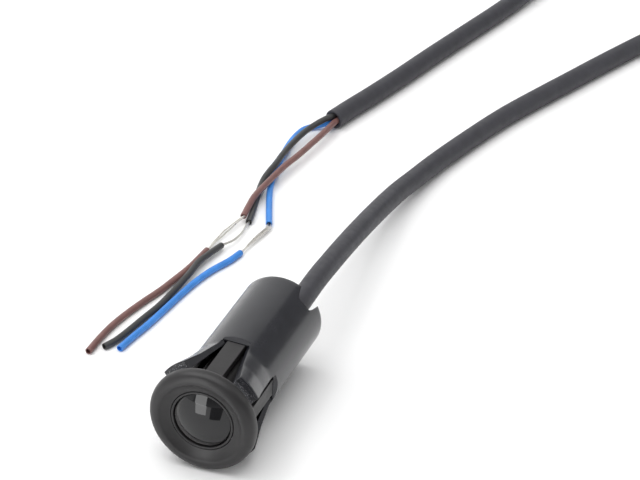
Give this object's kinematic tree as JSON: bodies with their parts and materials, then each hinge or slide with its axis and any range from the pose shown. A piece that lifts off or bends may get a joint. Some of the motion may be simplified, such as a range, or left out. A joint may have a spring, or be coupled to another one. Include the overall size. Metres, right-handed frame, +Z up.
{
  "type": "photoelectric sensor",
  "caption": "Snap-in panel-mount photoelectric sensor head: domed lens, flanged collar, sprung snap wings, round barrel and a moulded-on cable with stripped wire ends.",
  "frame": {"origin": "on the surface the sensor lies on, under the middle of the sensor head", "axes": "+Y along the optical axis from the lens towards the cable exit, +Z up; the lens faces -Y"},
  "size_m": [0.0831, 0.2481, 0.0177],
  "materials": {
    "housing": "moulded glossy black",
    "collar": "fine matte black",
    "lens": "polished dark infrared window",
    "potting": "black casting resin",
    "cable_jacket": "matte dark grey PVC",
    "wire_brown": "satin brown PVC",
    "wire_black": "satin black PVC",
    "wire_blue": "satin blue PVC",
    "tinned_copper": "bright tinned strands",
    "tie": "white nylon",
    "board": "green solder mask",
    "chip": "black epoxy",
    "ceramic": "tan ceramic"
  },
  "bodies": {
    "sensor_body": {"bezel_collar": "collar", "barrel_housing": "housing", "optic_tube": "collar", "lens": "lens", "detector": "chip", "detector_lead_a": "tinned_copper", "detector_lead_b": "tinned_copper", "circuit_board": "board", "amplifier_ic": "chip", "output_transistor": "chip", "protection_diode": "chip", "capacitor_a": "ceramic", "capacitor_b": "ceramic", "resistor_a": "chip", "resistor_b": "chip", "rear_potting": "potting", "cable_clamp": "tinned_copper", "core_brown": "wire_brown", "core_black": "wire_black", "core_blue": "wire_blue", "cable_lead": "cable_jacket", "cable_coil": "cable_jacket", "cable_tail": "cable_jacket", "coil_tie": "tie", "wire_brown": "wire_brown", "strands_brown": "tinned_copper", "sleeve_brown": "wire_brown", "wire_black": "wire_black", "strands_black": "tinned_copper", "sleeve_black": "wire_black", "wire_blue": "wire_blue", "strands_blue": "tinned_copper", "sleeve_blue": "wire_blue"},
    "wing_1": {"snap_wing_1": "housing"},
    "wing_2": {"snap_wing_2": "housing"},
    "wing_3": {"snap_wing_3": "housing"},
    "wing_4": {"snap_wing_4": "housing"}
  },
  "joints": [
    {"name": "wing_1_flex", "type": "hinge", "parent": "sensor_body", "child": "wing_1", "pos_m": [0.00498, -0.00363, 0.01318], "axis": [0.6561, 0, -0.7547], "range_deg": [0, 14], "stiffness_Nm_per_rad": 0.1},
    {"name": "wing_2_flex", "type": "hinge", "parent": "sensor_body", "child": "wing_2", "pos_m": [0.00433, -0.00363, 0.00387], "axis": [-0.7547, 0, -0.6561], "range_deg": [0, 14], "stiffness_Nm_per_rad": 0.1},
    {"name": "wing_3_flex", "type": "hinge", "parent": "sensor_body", "child": "wing_3", "pos_m": [-0.00498, -0.00363, 0.00452], "axis": [-0.6561, 0, 0.7547], "range_deg": [0, 14], "stiffness_Nm_per_rad": 0.1},
    {"name": "wing_4_flex", "type": "hinge", "parent": "sensor_body", "child": "wing_4", "pos_m": [-0.00433, -0.00363, 0.01383], "axis": [0.7547, 0, 0.6561], "range_deg": [0, 14], "stiffness_Nm_per_rad": 0.1}
  ]
}
